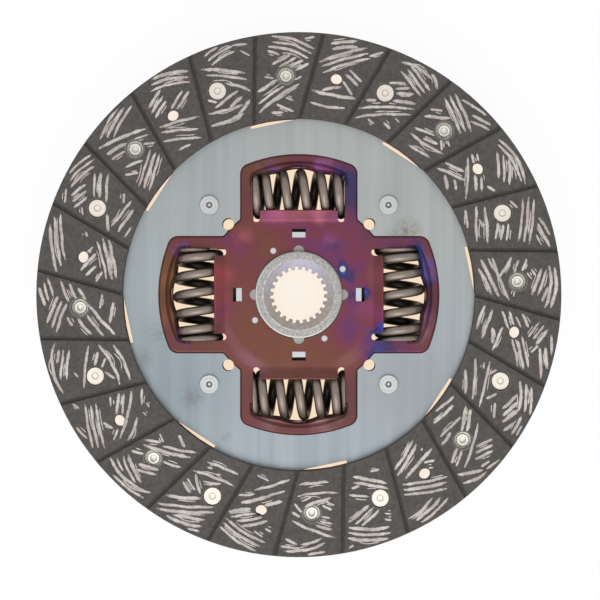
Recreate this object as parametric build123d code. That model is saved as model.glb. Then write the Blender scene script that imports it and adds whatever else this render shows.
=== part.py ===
from build123d import *
import math
import os

# Clutch disc with friction facings, waved cushion paddles and a sprung hub.
# Frame: origin on the bore axis at the middle of the disc plate's thickness,
# +Z towards the flywheel side. All lengths are in mm and all angles in degrees.

# --- Facings -------------------------------------------------------------
facing_outer_dia = 225.0
facing_inner_dia = 151.0
facing_thickness = 3.5
facing_chamfer = 0.3
groove_count = 24
groove_width = 1.3
groove_depth = 0.8
groove_line_offset = 20.1
groove_turn = -0.7

# --- Disc plate and its paddles ------------------------------------------
plate_thickness = 0.8
cushion_travel = 0.5
paddle_count = 8
paddle_turn = 35.1
paddle_margin = 2.0
paddle_corner_radius = 3.0
paddle_ramp_width = 10.0
slit_width = 6.0
relief_show = 1.6
relief_depth = 2.0
relief_width_angle = 16.0
relief_turn = 8.0
relief_floor_turn = 4.0

# --- Facing rivets --------------------------------------------------------
rivet_half_angle = 13.3
rivet_shank_dia = 3.8
rivet_head_dia = 7.7
rivet_head_height = 1.1
rivet_tail_dia = 5.4
rivet_tail_height = 1.0
rivet_bore_dia = 2.6
rivet_bore_depth = 2.3
rivet_dimple_depth = 0.5
rivet_edge = 0.25
rivet_clearance = 0.05
pocket_clearance = 0.3
pocket_floor = 1.3
tail_hole_clearance = 0.9
vent_hole_dia = 4.9

# --- Damper springs -------------------------------------------------------
spring_count = 4
spring_circle_dia = 87.2
spring_outer_dia = 22.0
spring_wire_dia = 4.1
spring_length = 39.5
spring_turns = 6.4
spring_closed_turns = 1.0
spring_ramp_turns = 0.5
spring_closed_gap = 0.1
spring_points_per_turn = 12
spring_crest_turns = [-18.0, 119.0, 41.0, -18.0]

# --- Retaining plates -----------------------------------------------------
retainer_thickness = 2.0
retainer_raise = 1.4
retainer_spacing = 9.4
cross_centre_dia = 81.4
cross_corner_radius = 4.3
cross_inner_radius = 1.5
cross_edge_radius = 0.7
cross_gap = 0.35
cross_rim = 5.5
flange_rim = 2.5
window_end_gap = 0.15
window_wall = 5.0
window_inner_reach = 3.8
window_outer_reach = 0.15
window_arch_radius = 18.6
window_arch_height = 1.45
window_arch_blend = 4.0
window_ledge_radius = 82.2
window_corner_radius = 2.0
window_notch_dia = 3.0
window_notch_reach = 1.4
lip_rise = 1.8
lip_slope = 45.0
lip_rim = 2.65
lip_crease_radius = 43.8
lip_side = 1.3
lip_length = 8.3
lip_corner_radius = 3.5
lip_roll_radius = 1.6
lip_mouth_slope = 25.0
tongue_length = 4.6
tongue_rise = 2.4
tongue_bend_radius = 4.0
tongue_tip_radius = 0.5
tongue_corner_radius = 1.4
spring_seat_gap = 0.3
pilot_hole_dia = 5.0
pilot_bite = 0.2

# --- Stop pins ------------------------------------------------------------
pin_circle_dia = 108.9
pin_shoulder_dia = 8.0
pin_neck_dia = 5.2
pin_head_dia = 8.3
pin_head_height = 1.3
pin_edge = 0.35
pin_dimple_dia = 2.7
pin_dimple_depth = 0.8
pin_clearance = 0.05
stop_angle = 12.0
stop_clearance = 0.1

# --- Hub ------------------------------------------------------------------
hub_nose_dia = 37.2
hub_nose_height = 3.0
hub_tail_dia = 34.0
hub_tail_height = 25.0
hub_step_length = 6.4
hub_edge = 0.6
hub_flange_thickness = 4.6
hub_flange_rim = 5.0
hub_window_gap = 0.4
hub_notch_margin = 0.6
hub_notch_corner_radius = 3.0
spline_count = 24
spline_turn = 5.0
spline_minor_dia = 22.2
spline_major_dia = 25.2
spline_space_angle = 8.6
spline_root_angle = 5.4
spline_overlap = 0.2
front_chamfer_dia = 30.4
front_chamfer_depth = 2.2
rear_chamfer_dia = 27.0
rear_chamfer_depth = 1.4

# --- Bush, washers and cone spring ---------------------------------------
hub_running_gap = 0.1
retainer_bore_gap = 0.5
washer_bore_gap = 0.4
friction_washer_dia = 60.0
friction_washer_thickness = 1.4
lug_washer_thickness = 1.2
lug_inner_reach = 5.9
lug_depth = 2.4
lug_width = 5.7
lug_slot_depth = 3.9
lug_gap = 0.1
lug_stand = 0.4
bush_dia = 47.2
bush_lobe_dia = 4.7
bush_lobe_offset = 0.25
bush_peg_dia = 2.8
bush_peg_reach = 3.2
bush_peg_turn = 30.3
bush_gap = 0.05
bush_stand = 0.1
cone_spring_thickness = 0.7
cone_spring_dia = 47.6

# --- Sizes that follow ----------------------------------------------------
facing_outer_r = facing_outer_dia / 2
facing_inner_r = facing_inner_dia / 2
rivet_circle_r = (facing_outer_r + facing_inner_r) / 2
wave_half = cushion_travel / 2
plate_top = plate_thickness / 2
facing_low = plate_top + wave_half
facing_top = facing_low + facing_thickness
pocket_low = facing_low + pocket_floor
rivet_hole_r = rivet_shank_dia / 2 + rivet_clearance
pocket_r = rivet_head_dia / 2 + pocket_clearance
tail_hole_r = rivet_tail_dia / 2 + tail_hole_clearance

paddle_pitch = 360.0 / paddle_count
paddle_outer_r = facing_outer_r - paddle_margin
neck_r = facing_inner_r + relief_depth
relief_inner_r = facing_inner_r - relief_show
paddle_angles = [paddle_turn + paddle_pitch * i for i in range(paddle_count)]
front_rivet_angles = [a - rivet_half_angle for a in paddle_angles]
rear_rivet_angles = [a + rivet_half_angle for a in paddle_angles]
flip_angle = paddle_turn - paddle_pitch / 2

window_angles = [360.0 / spring_count * i for i in range(spring_count)]
pin_angles = [a + 180.0 / spring_count for a in window_angles]
spring_circle_r = spring_circle_dia / 2
spring_r = spring_outer_dia / 2
window_half = spring_length / 2 + window_end_gap
window_inner = spring_circle_r - spring_r + window_inner_reach
window_outer = spring_circle_r + spring_r + window_outer_reach
notch_x = spring_circle_r - spring_r - window_notch_reach + window_notch_dia / 2
notch_y = window_half - window_notch_dia / 2 - window_end_gap

retainer_high = -plate_top
retainer_low = retainer_high - retainer_thickness
cross_top = retainer_high + retainer_raise
cross_under = cross_top - retainer_thickness
retainer_far = retainer_low - retainer_spacing
middle_z = (retainer_low + retainer_far) / 2
cross_under_far = 2 * middle_z - cross_under
cross_centre_r = cross_centre_dia / 2
cross_outer_r = spring_circle_r + spring_r + cross_rim
arm_half = window_half + window_wall
pin_circle_r = pin_circle_dia / 2
flange_r = max(cross_outer_r, pin_circle_r + pin_head_dia / 2) + flange_rim
pilot_circle_r = cross_centre_r - pilot_bite + pilot_hole_dia / 2

hub_nose_r = hub_nose_dia / 2
hub_flange_high = middle_z + hub_flange_thickness / 2
hub_flange_low = middle_z - hub_flange_thickness / 2
hub_arm_half = (
    pin_circle_r * math.sin(math.radians(180.0 / spring_count - stop_angle))
    - pin_shoulder_dia / 2
    - stop_clearance
)
hub_arm_r = spring_circle_r + spring_r + hub_window_gap + hub_flange_rim
hub_notch_r = pilot_circle_r - pilot_hole_dia / 2 - hub_notch_margin
retainer_bore_r = hub_nose_r + retainer_bore_gap
washer_bore_r = hub_nose_r + washer_bore_gap
bush_bore_r = hub_nose_r + hub_running_gap
bush_lobe_r = hub_nose_r + bush_lobe_offset
bush_peg_r = hub_nose_r + bush_peg_reach
lug_inner_r = hub_nose_r + lug_inner_reach

above = 2 * facing_top


def at(radius, angle):
    """Place at a radius and an angle about the Z axis."""
    return Rot(0, 0, angle) * Pos(radius, 0, 0)


def discs(diameter, radius, angles):
    """Equal discs on a circle about the Z axis."""
    return [at(radius, a) * Circle(diameter / 2) for a in angles]


def prism(outline, low, high):
    """Solid of a flat outline between two heights."""
    return Pos(0, 0, low) * extrude(outline, high - low)


def ring(outer_r, inner_r, low, high):
    """Flat ring about the Z axis."""
    return prism(Circle(outer_r) - Circle(inner_r), low, high)


def turned(points):
    """Solid turned about the Z axis from (radius, height) points."""
    return revolve(Plane.XZ * Polygon(*points, align=None), Axis.Z)


def wedge(reach, apex, angle):
    """Flat triangle from an apex on the X axis, as wide as an angle."""
    half = reach * math.tan(math.radians(angle / 2))
    return Pos(apex, 0) * Polygon((0, 0), (reach, -half), (reach, half), align=None)


def flipped(shape):
    """Turn a front piece over onto the rear of the disc plate."""
    turn = math.radians(flip_angle)
    axis = Axis((0, 0, 0), (math.cos(turn), math.sin(turn), 0))
    return shape.rotate(axis, 180)


def behind(shape):
    """Mirror a front piece through the middle of the hub flange."""
    return mirror(shape, about=Plane.XY.offset(middle_z))


# --- Facings and their rivets --------------------------------------------
def facing():
    """Friction ring with slanted grooves, rivet pockets and clear holes."""
    high = facing_top - facing_chamfer
    body = turned([
        (facing_inner_r, facing_low),
        (facing_outer_r, facing_low),
        (facing_outer_r, high),
        (facing_outer_r - facing_chamfer, facing_top),
        (facing_inner_r + facing_chamfer, facing_top),
        (facing_inner_r, high),
    ])
    holes = Sketch() + discs(2 * rivet_hole_r, rivet_circle_r, front_rivet_angles)
    holes += discs(2 * tail_hole_r, rivet_circle_r, rear_rivet_angles)
    holes += discs(vent_hole_dia, rivet_circle_r, paddle_angles)
    body -= prism(holes, 0, above)
    pockets = Sketch() + discs(2 * pocket_r, rivet_circle_r, front_rivet_angles)
    body -= prism(pockets, pocket_low, above)
    groove = Pos(facing_outer_r / 2, groove_line_offset, facing_top) * Box(
        facing_outer_r, groove_width, 2 * groove_depth
    )
    pitch = 360.0 / groove_count
    body -= [Rot(0, 0, groove_turn + pitch * i) * groove for i in range(groove_count)]
    return body


def facing_rivet():
    """Tubular rivet: flat head in the pocket, rolled tail under the paddle."""
    head_r = rivet_head_dia / 2
    tail_r = rivet_tail_dia / 2
    bore_r = rivet_bore_dia / 2
    shank_r = rivet_shank_dia / 2
    head_top = pocket_low + rivet_head_height
    paddle_under = facing_low - plate_thickness
    tail_low = paddle_under - rivet_tail_height
    return turned([
        (0, tail_low + rivet_bore_depth),
        (bore_r, tail_low + rivet_bore_depth),
        (bore_r, tail_low + rivet_edge),
        (bore_r + rivet_edge, tail_low),
        (tail_r - rivet_edge, tail_low),
        (tail_r, tail_low + rivet_edge),
        (tail_r, paddle_under),
        (shank_r, paddle_under),
        (shank_r, pocket_low),
        (head_r, pocket_low),
        (head_r, head_top - rivet_edge),
        (head_r - rivet_edge, head_top),
        (bore_r, head_top),
        (bore_r - rivet_edge, head_top - rivet_dimple_depth),
        (0, head_top - rivet_dimple_depth),
    ])


def facing_rivets():
    """The rivets of the front facing, as separate solids."""
    rivet = facing_rivet()
    return Compound([at(rivet_circle_r, a) * rivet for a in front_rivet_angles])


# --- Disc plate -----------------------------------------------------------
def cross_outline(grow):
    """Four-armed outline with a round middle, grown by an offset."""
    half = arm_half + grow
    outer = cross_outer_r + grow
    arm = Rectangle(2 * outer, 2 * half)
    outline = Circle(outer) & (arm + Rot(0, 0, 90) * arm)
    outline += Circle(cross_centre_r + grow)
    tips = [v for v in outline.vertices() if min(abs(v.X), abs(v.Y)) > half - cross_gap
            and math.hypot(v.X, v.Y) > outer - cross_gap]
    outline = fillet(tips, cross_corner_radius + grow)
    roots = [v for v in outline.vertices() if min(abs(v.X), abs(v.Y)) > half - cross_gap
             and math.hypot(v.X, v.Y) < cross_centre_r + grow + cross_gap]
    return fillet(roots, cross_inner_radius)


def paddle():
    """Waved paddle on the X axis: high under one rivet and low under the other."""
    reach = 2 * facing_outer_r
    apex = slit_width / 2 / math.sin(math.radians(paddle_pitch / 2))
    outline = Circle(paddle_outer_r) & wedge(reach, apex, paddle_pitch)
    outline -= Circle(neck_r)
    corners = [v for v in outline.vertices() if math.hypot(v.X, v.Y) > neck_r + slit_width
               and abs(v.Y) > slit_width]
    outline = fillet(corners, paddle_corner_radius)
    ramp = paddle_ramp_width / 2
    wave = [(-reach, wave_half), (-ramp, wave_half), (ramp, -wave_half), (reach, -wave_half)]
    upper = [(y, z + plate_top) for y, z in wave]
    lower = [(y, z - plate_top) for y, z in reversed(wave)]
    sheet = extrude(Plane.YZ * Polygon(*upper, *lower, align=None), reach, both=True)
    return sheet & prism(outline, -above, above)


def disc_plate():
    """Thin plate with a cross-shaped opening, slots with slanting floors and waved paddles."""
    flat = Circle(neck_r) - cross_outline(cross_gap)
    slot = wedge(facing_outer_r, 0, relief_width_angle)
    slot -= Rot(0, 0, relief_floor_turn) * Rectangle(2 * relief_inner_r, 2 * facing_outer_r)
    flat -= [Rot(0, 0, relief_turn + paddle_pitch * i) * slot for i in range(paddle_count)]
    body = prism(flat, -plate_top, plate_top)
    body += [Rot(0, 0, a) * paddle() for a in paddle_angles]
    holes = Sketch() + discs(2 * rivet_hole_r, rivet_circle_r, front_rivet_angles)
    holes += discs(2 * rivet_hole_r, rivet_circle_r, rear_rivet_angles)
    holes += discs(vent_hole_dia, rivet_circle_r, paddle_angles)
    holes += discs(pin_neck_dia + 2 * pin_clearance, pin_circle_r, pin_angles)
    holes += discs(pilot_hole_dia, pilot_circle_r, pin_angles)
    return body - prism(holes, -above, above)


# --- Retaining plates -----------------------------------------------------
def window_outline():
    """Spring window on the X axis: arched outside, notched beside the tongue."""
    block = Pos((window_inner + window_outer) / 2, 0) * Rectangle(
        window_outer - window_inner, 2 * window_half
    )
    ledge_top = window_outer - window_arch_height
    outline = block & Pos(ledge_top - window_ledge_radius, 0) * Circle(window_ledge_radius)
    outline += block & Pos(window_outer - window_arch_radius, 0) * Circle(window_arch_radius)
    outside = [v for v in outline.vertices() if v.X > spring_circle_r]
    outline = fillet([v for v in outside if abs(v.Y) < arm_half / 2], window_arch_blend)
    outside = [v for v in outline.vertices() if v.X > spring_circle_r]
    outline = fillet([v for v in outside if abs(v.Y) > window_half - lip_side], window_corner_radius)
    for side in (-1, 1):
        slot_length = window_inner + window_notch_dia - notch_x
        outline += Pos(notch_x + slot_length / 2, side * notch_y) * Rectangle(
            slot_length, window_notch_dia
        )
        outline += Pos(notch_x, side * notch_y) * Circle(window_notch_dia / 2)
    tips = [v for v in outline.vertices() if abs(v.X - window_inner) < window_end_gap
            and abs(v.Y) < notch_y]
    return fillet(tips, tongue_corner_radius)


def lip_outline():
    """Plan of the swelling round the outer side of the window on the X axis."""
    low = window_outer - lip_length
    high = window_outer + lip_rim
    outline = Pos((low + high) / 2, 0) * Rectangle(high - low, 2 * (window_half + lip_side))
    outline &= Pos(high - lip_crease_radius, 0) * Circle(lip_crease_radius)
    corners = [v for v in outline.vertices() if v.X > low + lip_corner_radius]
    return fillet(corners, lip_corner_radius)


def lip_swelling():
    """Drafted swelling that stands on the raised face, with a rolled top edge."""
    swelling = Pos(0, 0, cross_top) * extrude(lip_outline(), lip_rise, taper=lip_slope)
    return fillet(swelling.edges().group_by(Axis.Z)[-1], lip_roll_radius)


def lip_mouth():
    """Slanted face that the bent-up edge shows inside its swelling."""
    swollen = Pos(window_outer + lip_rim - lip_length / 2, 0) * Rectangle(lip_length, 4 * window_half)
    inside = window_outline() & swollen
    return Pos(0, 0, cross_under + lip_rise) * extrude(inside, above, taper=-lip_mouth_slope)


def tongue():
    """Inner edge of the window on the X axis, bent upwards from the raised face."""
    root = window_inner - tongue_length
    top = cross_top + tongue_rise
    profile = Plane.XZ * Polygon(
        (root - retainer_thickness, cross_under),
        (root, cross_under),
        (window_inner, top - retainer_thickness),
        (window_inner, top),
        (root, cross_top),
        (root - retainer_thickness, cross_top),
        align=None,
    )
    bends = [v for v in profile.vertices() if abs(v.X - root) < window_end_gap]
    profile = fillet(bends, tongue_bend_radius)
    tip = [v for v in profile.vertices() if v.Z > top - tongue_tip_radius]
    profile = fillet(tip, tongue_tip_radius)
    return extrude(profile, notch_y, both=True)


def lug_slots():
    """Openings for the washer's lugs."""
    slot = Pos(lug_inner_r - lug_gap + lug_slot_depth / 2, 0) * Rectangle(
        lug_slot_depth, lug_width + 2 * lug_gap
    )
    return [Rot(0, 0, a) * slot for a in window_angles]


def bush_lobes(clearance):
    """Half-round lobes and round pegs that key the bush to the plate."""
    lobes = discs(bush_lobe_dia + 2 * clearance, bush_lobe_r, window_angles)
    peg_angles = [a + bush_peg_turn for a in window_angles]
    pegs = discs(bush_peg_dia + 2 * clearance, bush_peg_r, peg_angles)
    return Sketch() + lobes + pegs


def retaining_plate(openings):
    """Pressing whose raised cross holds the springs in four lipped windows."""
    body = prism(Circle(flange_r), retainer_low, retainer_high)
    raised = prism(cross_outline(0), retainer_low, cross_top)
    raised = fillet(raised.edges().group_by(Axis.Z)[-1], cross_edge_radius)
    body += raised
    body -= prism(cross_outline(-retainer_thickness), retainer_low, cross_under)
    swelling = lip_swelling()
    body += [Rot(0, 0, a) * piece for a in window_angles for piece in (swelling, tongue())]
    tunnel = Pos(spring_circle_r, 0, middle_z) * Rot(90, 0, 0) * Cylinder(
        spring_r + spring_seat_gap, 2 * window_half
    )
    hollows = [Pos(0, 0, -retainer_thickness) * swelling, lip_mouth(), tunnel]
    body -= [Rot(0, 0, a) * piece for a in window_angles for piece in hollows]
    cuts = openings + [Rot(0, 0, a) * window_outline() for a in window_angles]
    cuts += [Circle(retainer_bore_r)]
    cuts += discs(pin_neck_dia + 2 * pin_clearance, pin_circle_r, pin_angles)
    cuts += discs(pilot_hole_dia, pilot_circle_r, pin_angles)
    return body - prism(Sketch() + cuts, -above, above)


def stop_pin():
    """Shouldered pin with a flat upset head at each end."""
    head_r = pin_head_dia / 2
    pin_neck_r = pin_neck_dia / 2
    shoulder_r = pin_shoulder_dia / 2
    dimple_r = pin_dimple_dia / 2
    front = plate_top + pin_head_height
    rear_seat = retainer_far - retainer_thickness
    rear = rear_seat - pin_head_height
    return turned([
        (0, rear + pin_dimple_depth),
        (dimple_r - pin_edge, rear + pin_dimple_depth),
        (dimple_r, rear),
        (head_r - pin_edge, rear),
        (head_r, rear + pin_edge),
        (head_r, rear_seat),
        (pin_neck_r, rear_seat),
        (pin_neck_r, retainer_far),
        (shoulder_r, retainer_far),
        (shoulder_r, retainer_low),
        (pin_neck_r, retainer_low),
        (pin_neck_r, plate_top),
        (head_r, plate_top),
        (head_r, front - pin_edge),
        (head_r - pin_edge, front),
        (dimple_r, front),
        (dimple_r - pin_edge, front - pin_dimple_depth),
        (0, front - pin_dimple_depth),
    ])


# --- Damper springs -------------------------------------------------------
def coil_height(turn, pitch, closed_pitch):
    """Axial place of the wire at a number of turns from the spring's middle."""
    open_turns = spring_turns / 2 - spring_closed_turns - spring_ramp_turns
    out = abs(turn)
    on_ramp = min(max(out - open_turns, 0), spring_ramp_turns)
    in_closed = max(out - open_turns - spring_ramp_turns, 0)
    slowing = (pitch - closed_pitch) / (2 * spring_ramp_turns)
    height = min(out, open_turns) * pitch
    height += on_ramp * pitch - slowing * on_ramp ** 2
    height += in_closed * closed_pitch
    return math.copysign(height, turn)


def damper_spring(angle, phase):
    """Right-handed coil spring with closed and ground ends, lying across a radius."""
    coil_r = (spring_outer_dia - spring_wire_dia) / 2
    tip = spring_wire_dia / 4
    closed_pitch = spring_wire_dia + spring_closed_gap
    slow_turns = 2 * spring_closed_turns + spring_ramp_turns
    centre_length = spring_length + 2 * tip
    pitch = (centre_length - slow_turns * closed_pitch) / (spring_turns - slow_turns)
    count = round(spring_turns * spring_points_per_turn)
    points = []
    for i in range(count + 1):
        turn = spring_turns * (i / count - 0.5)
        a = math.radians(360 * turn + phase)
        height = coil_height(turn, pitch, closed_pitch)
        points.append((coil_r * math.cos(a), coil_r * math.sin(a), height))
    path = Spline(*points)
    section = Plane(origin=path @ 0, z_dir=path % 0) * Circle(spring_wire_dia / 2)
    wire = sweep(section, path=path, is_frenet=True)
    wire = wire & Cylinder(spring_outer_dia, spring_length)
    return at(spring_circle_r, angle) * Pos(0, 0, middle_z) * Rot(-90, 0, 0) * wire


# --- Hub ------------------------------------------------------------------
def hub_flange_outline():
    """Four arms between the stop pins, each with a closed spring window."""
    arm = Rectangle(2 * hub_arm_r, 2 * hub_arm_half)
    outline = Circle(hub_arm_r) & (arm + Rot(0, 0, 90) * arm)
    outline += Circle(hub_notch_r)
    roots = [v for v in outline.vertices() if min(abs(v.X), abs(v.Y)) > hub_arm_half / 2
             and math.hypot(v.X, v.Y) < hub_arm_r - hub_flange_rim]
    outline = fillet(roots, hub_notch_corner_radius)
    window = Pos(spring_circle_r, 0) * Rectangle(
        spring_outer_dia + 2 * hub_window_gap, 2 * window_half
    )
    window += [Pos(notch_x, side * notch_y) * Circle(window_notch_dia / 2) for side in (-1, 1)]
    return outline - [Rot(0, 0, a) * window for a in window_angles]


def spline_outline():
    """Bore with straight-sided spline spaces, narrower at the root."""
    space_r = spline_minor_dia / 2 - spline_overlap
    space_half = math.radians(spline_space_angle / 2)
    root_half = math.radians(spline_root_angle / 2)
    root_r = spline_major_dia / 2
    space = Polygon(
        (space_r * math.cos(space_half), -space_r * math.sin(space_half)),
        (root_r * math.cos(root_half), -root_r * math.sin(root_half)),
        (root_r * math.cos(root_half), root_r * math.sin(root_half)),
        (space_r * math.cos(space_half), space_r * math.sin(space_half)),
        align=None,
    )
    pitch = 360.0 / spline_count
    spaces = [Rot(0, 0, spline_turn + pitch * i) * space for i in range(spline_count)]
    return Circle(spline_minor_dia / 2) + spaces


def countersink(mouth_dia, mouth, depth):
    """Cone that opens the bore towards one end of the hub."""
    bottom = mouth + depth
    return turned([(0, mouth), (mouth_dia / 2, mouth), (spline_minor_dia / 2, bottom), (0, bottom)])


def hub():
    """Splined hub with its windowed flange in one piece."""
    tail_r = hub_tail_dia / 2
    step_low = hub_flange_low - hub_step_length
    body = turned([
        (0, -hub_tail_height),
        (tail_r - hub_edge, -hub_tail_height),
        (tail_r, hub_edge - hub_tail_height),
        (tail_r, step_low),
        (hub_nose_r - hub_edge, step_low),
        (hub_nose_r, step_low + hub_edge),
        (hub_nose_r, hub_nose_height - hub_edge),
        (hub_nose_r - hub_edge, hub_nose_height),
        (0, hub_nose_height),
    ])
    body += prism(hub_flange_outline(), hub_flange_low, hub_flange_high)
    body -= prism(spline_outline(), -2 * hub_tail_height, 2 * hub_tail_height)
    body -= countersink(front_chamfer_dia, hub_nose_height, -front_chamfer_depth)
    return body - countersink(rear_chamfer_dia, -hub_tail_height, rear_chamfer_depth)


# --- Bush, washers and cone spring ---------------------------------------
def hub_bush():
    """Resin bush under the front plate, with lobes and pegs through it."""
    bush_low = cross_under - lug_washer_thickness
    body = ring(bush_dia / 2, bush_bore_r, bush_low, cross_under)
    keys = bush_lobes(-bush_gap) - Circle(bush_bore_r)
    return body + prism(keys, cross_under, cross_top - bush_stand)


def lug_washer():
    """Steel washer whose four bent lugs stand in the plate's slots."""
    high = cross_under - lug_washer_thickness
    low = high - lug_washer_thickness
    body = ring(lug_inner_r + lug_depth, washer_bore_r, low, high)
    lug = Pos(lug_inner_r + lug_depth / 2, 0) * Rectangle(lug_depth, lug_width)
    lugs = [Rot(0, 0, a) * lug for a in window_angles]
    return body + prism(Sketch() + lugs, low, cross_top - lug_stand)


def friction_washer():
    """Friction ring between the lug washer and the hub flange."""
    return ring(
        friction_washer_dia / 2,
        washer_bore_r,
        hub_flange_high,
        hub_flange_high + friction_washer_thickness,
    )


def cone_spring():
    """Conical spring washer that loads the rear friction washer."""
    outer_r = cone_spring_dia / 2
    high = cross_under_far + lug_washer_thickness
    low = cross_under_far
    return turned([
        (washer_bore_r, low),
        (outer_r, high - cone_spring_thickness),
        (outer_r, high),
        (washer_bore_r, low + cone_spring_thickness),
    ])


pieces = {
    "front_facing": facing(),
    "rear_facing": flipped(facing()),
    "front_facing_rivets": facing_rivets(),
    "rear_facing_rivets": flipped(facing_rivets()),
    "disc_plate": disc_plate(),
    "front_retaining_plate": retaining_plate(lug_slots() + [bush_lobes(0)]),
    "rear_retaining_plate": behind(retaining_plate(lug_slots())),
    "hub": hub(),
    "hub_bush": hub_bush(),
    "front_lug_washer": lug_washer(),
    "rear_lug_washer": behind(lug_washer()),
    "front_friction_washer": friction_washer(),
    "rear_friction_washer": behind(friction_washer()),
    "cone_spring": cone_spring(),
}
for i, pin_angle in enumerate(pin_angles):
    pieces[f"stop_pin_{i + 1}"] = at(pin_circle_r, pin_angle) * stop_pin()
for i, window_angle in enumerate(window_angles):
    phase = spring_crest_turns[i] - 90
    pieces[f"damper_spring_{i + 1}"] = damper_spring(window_angle, phase)

os.makedirs("parts", exist_ok=True)
for name, shape in pieces.items():
    export_step(shape, f"parts/{name}.step")
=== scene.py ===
import math
import random

import bpy
from mathutils import Matrix, Vector


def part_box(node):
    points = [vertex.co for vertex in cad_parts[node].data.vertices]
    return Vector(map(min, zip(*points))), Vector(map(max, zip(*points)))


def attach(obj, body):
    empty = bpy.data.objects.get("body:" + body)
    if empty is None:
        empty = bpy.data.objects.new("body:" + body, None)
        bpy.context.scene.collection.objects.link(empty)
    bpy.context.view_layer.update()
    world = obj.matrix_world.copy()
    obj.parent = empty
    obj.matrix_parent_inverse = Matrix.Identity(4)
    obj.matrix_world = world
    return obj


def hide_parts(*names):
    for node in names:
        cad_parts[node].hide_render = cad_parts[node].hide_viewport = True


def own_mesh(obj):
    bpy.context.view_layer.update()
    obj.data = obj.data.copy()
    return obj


# Looks of the clutch disc: finishes, ground-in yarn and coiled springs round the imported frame.
# Lengths are in metres unless a name ends in _mm, angles are in degrees, and the materials
# work in millimetres. A name that ends in _range is the lowest and highest of a random draw.

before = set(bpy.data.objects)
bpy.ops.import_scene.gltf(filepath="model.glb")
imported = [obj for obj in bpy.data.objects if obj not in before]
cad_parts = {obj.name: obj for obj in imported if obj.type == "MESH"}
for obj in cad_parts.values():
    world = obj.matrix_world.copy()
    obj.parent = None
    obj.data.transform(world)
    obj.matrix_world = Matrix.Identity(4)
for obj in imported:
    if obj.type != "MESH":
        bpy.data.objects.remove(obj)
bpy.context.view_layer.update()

MM = 0.001

# --- Sizes read from the frame ----------------------------------------------------
facing_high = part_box("front_facing")[1]
hub_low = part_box("hub")[0]
facing_outer_r = facing_high.x
front_face_z = facing_high.z
floor_z = hub_low.z

# --- Facings ------------------------------------------------------------------------
facing_inner_r_mm = 75.5
facing_outer_r_mm = facing_outer_r / MM
pad_count = 24
pad_pitch = 360.0 / pad_count
pad_turn = 4.2
groove_offset_mm = 20.1  # how far each groove's line passes from the disc's middle
groove_turn = -0.7
# how far from each groove the painted shade reaches (mm)
groove_shade_mm = 1.5
flip_angle = 12.6  # the rear facing is the front one turned over about this direction

# --- Rivets and holes of the facings ------------------------------------------------
paddle_count = 8
paddle_pitch = 360.0 / paddle_count
paddle_turn = 35.1
rivet_circle_mm = 94.0
rivet_half_angle = 13.3
pocket_r_mm = 4.15
tail_hole_r_mm = 3.6
vent_hole_r_mm = 2.45
rivet_ring_mm = 1.4
rivet_mouth_mm = 4.0
# Painted light on the rivets: paler near the disc plate, where they lie deep in shade.
rivet_top_mm = 1.7  # a rivet is paler nearer to the disc plate than this
rivet_deep_mm = 1.3

# --- Plates, hub, bush and stop pins ------------------------------------------------
# Painted light on the disc plate, where it lies in shade at the floors of the facings' holes.
paddle_painted_light_mm = (82.0, 86.0)  # the disc plate turns pale here, under the facings
arm_shade_mm = (34.0, 46.0)  # the retaining plate turns darker here, towards its arms
highlight_arc_mm = 35.2
hub_rim_mm = 18.1
hub_edge_mm = 15.4
hub_cone_mm = 15.3
peg_count = 4
peg_turn = 30.3
peg_circle_mm = 21.8
peg_spot_mm = 2.4
pin_reach_mm = 38.5
pin_ring_mm = 0.7
pin_face_mm = 3.9
pin_dot_mm = 0.6
pin_dimple_mm = 1.2
pin_face_blur_mm = 0.3
pin_dimple_blur_mm = 0.15
pin_dot_blur_mm = 0.1

# --- Yarn -----------------------------------------------------------------------------
strand_gap_mm = 2.3
strand_width_mm = 1.6
strand_height_mm = 0.07
strand_step_mm = 0.7
strand_least_steps = 4
strand_least_points = 4
strand_full_mm = 16.0  # a strand that is cut shorter than about half of this is also slimmer
strand_slimmest = 0.45
strand_tip = 0.4  # width at the ends, as a share of the width in the middle
strand_taper_run = 0.22
strand_margin_mm = 0.25
strand_wave_mm_range = (0.05, 0.16)
strand_shift_mm_range = (-0.4, 0.4)
strand_length_range = (0.93, 1.05)
strand_width_range = (0.8, 1.2)
strand_edge_range = (0.88, 1.12)
strand_lean_range = (-1.5, 1.5)
fibre_width_mm = 0.55
fibre_share = 0.5
fibre_gap_mm = 1.2
fibre_gap_range = (0.8, 1.2)
fibre_drift_range = (-0.2, 0.2)
fibre_chance = 0.7
groove_margin_mm = 1.15
edge_margin_mm = 0.9
front_yarn_seed = 5
rear_yarn_seed = 6
rear_pad_shift = 7

# --- Damper springs -------------------------------------------------------------------
spring_circle_r = 0.0436
spring_outer_dia = 0.022
spring_wire_dia = 0.0041
spring_length = 0.0395
spring_turns = 6.4
spring_closed_turns = 1.0
spring_ramp_turns = 0.5
spring_closed_gap = 0.0001
spring_ground_share = 0.25  # of the wire, ground off at each end past its middle
spring_middle_z = -0.0071
spring_steps_per_turn = 40
spring_sides = 20
spring_angles = [0.0, 90.0, 180.0, 270.0]
spring_crest_turns = [-18.0, 119.0, 41.0, -18.0]

# --- Camera, lamp and floor -----------------------------------------------------------
camera_distance = 1.05
camera_lens_mm = 147.1
camera_sensor_mm = 36.0
camera_side = 0.0005
camera_back = -0.0023
lamp_place = (-0.08, -0.85, 1.35)
lamp_size = 1.3
lamp_power = 15.0
ambient_light = 0.38
floor_half = 3.0
floor_glow = 1.06
floor_glow_share = 0.9
floor_paper_colour = (0.6, 0.6, 0.6, 1)

# --- Noise ------------------------------------------------------------------------------
# Nearly all of a noise texture's values lie between these two.
noise_low, noise_high = 0.3, 0.7


def srgb(red, green, blue):
    """Colour written as 0 to 255 in sRGB, as Blender's linear RGBA."""
    def linear(value):
        value /= 255.0
        return value / 12.92 if value <= 0.04045 else ((value + 0.055) / 1.055) ** 2.4
    return (linear(red), linear(green), linear(blue), 1.0)


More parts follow.
